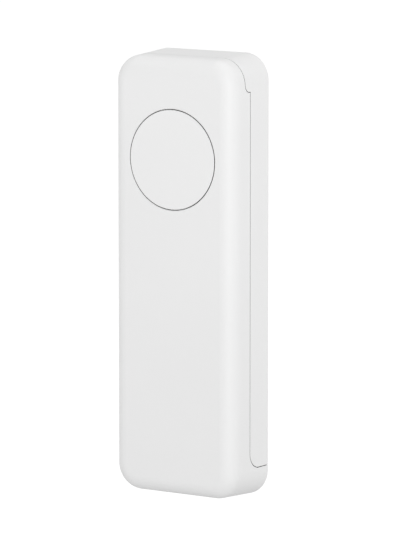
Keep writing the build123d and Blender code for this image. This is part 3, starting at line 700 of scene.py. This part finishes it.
# Tinned ends on the chip capacitors and resistors, a little proud of their bodies
END_L = 0.36
END_PROUD = 0.035
END_SQUARENESS = 0.2
end_caps = []
for node in ("capacitors", "resistors"):
    for low, high in boxes_in(node):
        for z_low, z_high in ((low[2], low[2] + END_L), (high[2] - END_L, high[2])):
            corner_low = (low[0] - END_PROUD, low[1] - END_PROUD, z_low - END_PROUD)
            corner_high = (high[0] + END_PROUD, high[1], z_high + END_PROUD)
            end_caps.append(soft_block(corner_low, corner_high, END_SQUARENESS))
closed_piece("chip_end_caps", end_caps, "front_unit", tin_sheet)


def solder_bead(x_mid, z_mid, half_w, half_h, rise, y_board):
    """Solder fillet: a low dome on the board, rise * (1 - share^1.6), flared at its foot."""
    share = np.array([0.15, 0.35, 0.55, 0.72, 0.86, 0.95, 1.0, 1.0])[:, None] * np.ones(AROUND // 2)
    height = rise * (1 - share**1.6) + 0.01
    height[-1] = -0.05
    angle = np.linspace(0, 2 * np.pi, AROUND // 2, endpoint=False)
    x = x_mid + share * half_w * np.cos(angle)
    z = z_mid + share * half_h * np.sin(angle)
    rings = np.stack((x, y_board - height, z), axis=-1)
    return (x_mid, y_board - rise - 0.01, z_mid), rings, (x_mid, y_board + 0.05, z_mid)


# Solder at the push switch's legs, the contact tabs and both edges of the radio module. A bead is
# (half width, half height, rise).
LEG_W = 0.7
LEG_BEAD = (0.55, 0.6, 0.42)
TAB_OFFSET = 4.0
TAB_BEAD = (1.5, 0.9, 0.62)
PADS = 6
PAD_INSET = 1.2
PAD_BEAD = (0.4, 0.35, 0.5)
board_face = in_mm("main_board")[0][1]
legs_low, legs_high = in_mm("push_switch_legs")
beads = [
    solder_bead(x, z, *LEG_BEAD, board_face)
    for x in (legs_low[0] + 0.4, legs_high[0] - 0.4)
    for z in (legs_low[2] + LEG_W / 2, legs_high[2] - LEG_W / 2)
]
for node in ("positive_contact", "negative_contact"):
    low, high = in_mm(node)
    tab_x = np.sign(low[0] + high[0]) * (CELL_X + TAB_OFFSET)
    beads.append(solder_bead(tab_x, high[2] - 0.5, *TAB_BEAD, board_face))
radio_low, radio_high = in_mm("radio_board")
for x in np.linspace(radio_low[0] + PAD_INSET, radio_high[0] - PAD_INSET, PADS):
    for z in (radio_low[2], radio_high[2]):
        beads.append(solder_bead(float(x), z, *PAD_BEAD, board_face))
closed_piece("solder_joints", beads, "front_unit", tin_sheet)


# Parts that flex under the button and under the pairing switch
BOOT_WEB_T = 0.8
BOOT_FOOT_T = 0.6
BOOT_FOOT_INNER_R = 8.8
BOOT_RIM_R = 8.2
BOOT_RIM_INNER_R = 6.0
BOOT_BULGE = 0.3
BOOT_SOFT = 0.12
boot_low, boot_high = in_mm("button_boot")
boot_back, boot_front = -boot_high[1], -boot_low[1]
boot_base_r = boot_high[0]


def boot_rings():
    """Turned section of the boot: a flat foot, a thin web that bulges by BOOT_BULGE * sin(pi * share)
    on its way up to a smaller rim, and the same web on the inside, one thickness closer to the axis."""
    share = np.linspace(0, 1, 14)
    foot, rim = boot_back + BOOT_FOOT_T, boot_front - BOOT_FOOT_T
    web_base_r = boot_base_r - BOOT_WEB_T
    web_r = web_base_r + (BOOT_RIM_R - web_base_r) * share + BOOT_BULGE * np.sin(np.pi * share)
    web_depth = foot + (rim - foot) * share
    outer = list(zip(web_r, web_depth))
    inner = list(zip(web_r - BOOT_WEB_T, web_depth))[::-1]
    section = [
        (BOOT_FOOT_INNER_R, boot_back),
        (boot_base_r - BOOT_SOFT, boot_back),
        (boot_base_r, boot_back + BOOT_SOFT),
        (boot_base_r, foot - BOOT_SOFT),
        (boot_base_r - BOOT_SOFT, foot),
        *outer,
        (BOOT_RIM_R, boot_front - BOOT_SOFT),
        (BOOT_RIM_R - BOOT_SOFT, boot_front),
        (BOOT_RIM_INNER_R + BOOT_SOFT, boot_front),
        (BOOT_RIM_INNER_R, boot_front - BOOT_SOFT),
        (BOOT_RIM_INNER_R, rim + BOOT_SOFT),
        (BOOT_RIM_INNER_R + BOOT_SOFT, rim),
        *inner,
        (BOOT_FOOT_INNER_R, foot),
    ]
    steps = np.array(section)
    radius = steps[:, :1] * np.ones(2 * AROUND)
    return turned(radius, steps[:, 1:] * np.ones(2 * AROUND), 0, BUTTON_Z, 0, -1)


def snap_dome(node, thickness, toward):
    """Snap disc: outside height * (1 - share squared), inside the same one thickness lower."""
    low, high = in_mm(node)
    foot = high[1] if toward < 0 else low[1]
    height = high[1] - low[1]
    rim_r = (high[0] - low[0]) / 2
    z_mid = (low[2] + high[2]) / 2
    share = np.linspace(0.06, 1, 14)
    outer = list(zip(share * rim_r, height * (1 - share**2)))
    inner = list(zip(share * (rim_r - thickness), (height - thickness) * (1 - share**2)))[::-1]
    steps = np.array(outer + inner)
    radius = steps[:, :1] * np.ones(AROUND)
    rings = turned(radius, steps[:, 1:] * np.ones(AROUND), 0, z_mid, foot, toward)
    begin = (0, foot + toward * height, z_mid)
    end = (0, foot + toward * (height - thickness), z_mid)
    return (begin, rings, end), (0, foot * MM, z_mid * MM)


DISC_T = 0.1
boot = closed_piece(
    "boot_bellows", [(None, boot_rings(), None)], "front_unit", boot_silicone, ["button_boot"]
)
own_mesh(boot)

# Snap discs of both switches, built at rest in place of their CAD nodes. Pressed, the push switch's disc
# goes flat and the pairing switch's disc goes down by 0.3 of its 0.5 mm.
for name, node, joint, toward, keep in (
    ("push_snap_disc", "push_switch_dome", "switch_press", -1, 0.04),
    ("pair_snap_disc", "pair_switch_dome", "pair_press", 1, 0.4),
):
    form, anchor = snap_dome(node, DISC_T, toward)
    disc_piece = closed_piece(name, [form], "front_unit", dome_steel, [node])
    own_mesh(disc_piece)


# ---------------------------------------------------------------- stage, lights and camera

FLOOR_Z = -190 * MM
FLOOR_HALF = 12.0
FLOOR_NEAR = 0.10
FLOOR_FAR = 0.555
FLOOR_GLOW_NEAR = 0.26
FLOOR_GLOW_FAR = 0.80


def paper_floor():
    """One flat square of pale paper that glows like a light table, less so in a wide soft pool under
    the object."""
    corners = [(-1, -1), (1, -1), (1, 1), (-1, 1)]
    mesh = bpy.data.meshes.new("floor")
    mesh.from_pydata([(x * FLOOR_HALF, y * FLOOR_HALF, FLOOR_Z) for x, y in corners], [], [(0, 1, 2, 3)])
    floor = bpy.data.objects.new("floor", mesh)
    scene.collection.objects.link(floor)
    material, tree, shader, here = start("floor paper", "959595", 0.9)
    shader.inputs["Emission Color"].default_value = srgb("ffffff")
    flat = add(tree, "ShaderNodeVectorMath", [(0, here), (1, (1, 1, 0))], operation="MULTIPLY").outputs[0]
    reach = add(tree, "ShaderNodeVectorMath", [(0, flat)], operation="LENGTH").outputs["Value"]
    glow = span(tree, reach, FLOOR_NEAR, FLOOR_FAR, FLOOR_GLOW_NEAR, FLOOR_GLOW_FAR)
    tree.links.new(glow, shader.inputs["Emission Strength"])
    mesh.materials.append(material)


paper_floor()


def soft_light(name, azimuth, elevation, distance, size, power):
    """Square softbox that faces the object, from an azimuth counted from its front."""
    data = bpy.data.lights.new(name, "AREA")
    data.energy = power
    data.size = size
    lamp = bpy.data.objects.new(name, data)
    scene.collection.objects.link(lamp)
    a, e = radians(azimuth), radians(elevation)
    out = Vector((sin(a) * cos(e), -cos(a) * cos(e), sin(e)))
    lamp.location = out * distance
    lamp.rotation_euler = out.to_track_quat("Z", "Y").to_euler()


soft_light("key softbox", azimuth=42, elevation=4, distance=1.6, size=1.0, power=8.5)
soft_light("top softbox", azimuth=200, elevation=82, distance=1.6, size=1.0, power=6.0)

SKY = 0.69
SKY_EDGE = 1.0
SKY_EDGE_RISE = 0.05


def white_studio():
    """White walls all round: brightest at the floor's far edge, so that no horizon shows."""
    world = bpy.data.worlds.new("white studio")
    scene.world = world
    world.use_nodes = True
    tree = world.node_tree
    place = add(tree, "ShaderNodeTexCoord")
    split = add(tree, "ShaderNodeSeparateXYZ", [("Vector", place.outputs["Generated"])])
    fade = span(tree, split.outputs["Z"], 0.0, SKY_EDGE_RISE, SKY_EDGE, SKY)
    back = tree.nodes["Background"]
    back.inputs["Color"].default_value = srgb("ffffff")
    tree.links.new(fade, back.inputs["Strength"])


white_studio()
scene.view_settings.view_transform = "Standard"

# The camera looks at the middle of the body from the right of the front and a little above
VIEW_AZIMUTH = radians(33.30)
VIEW_ELEVATION = radians(8.22)
VIEW_DISTANCE = 1180.8 * MM
VIEW_LENS = 291.5
AIM_DEPTH = -7.6 * MM
AIM_RIGHT = 2.95 * MM
AIM_UP = 0.91 * MM


def aim_camera():
    """Camera on a sphere round the aim point; the aim point is shifted along the picture's own axes."""
    a, e = VIEW_AZIMUTH, VIEW_ELEVATION
    right = Vector((cos(a), sin(a), 0))
    back = Vector((sin(a) * cos(e), -cos(a) * cos(e), sin(e)))
    up = back.cross(right)
    aim = Vector((0, AIM_DEPTH, 0)) + right * AIM_RIGHT + up * AIM_UP
    data = bpy.data.cameras.new("camera")
    data.lens = VIEW_LENS
    data.clip_end = 60
    camera = bpy.data.objects.new("camera", data)
    scene.collection.objects.link(camera)
    turn = Matrix((right, up, back)).transposed().to_4x4()
    camera.matrix_world = Matrix.Translation(aim + back * VIEW_DISTANCE) @ turn
    scene.camera = camera


aim_camera()
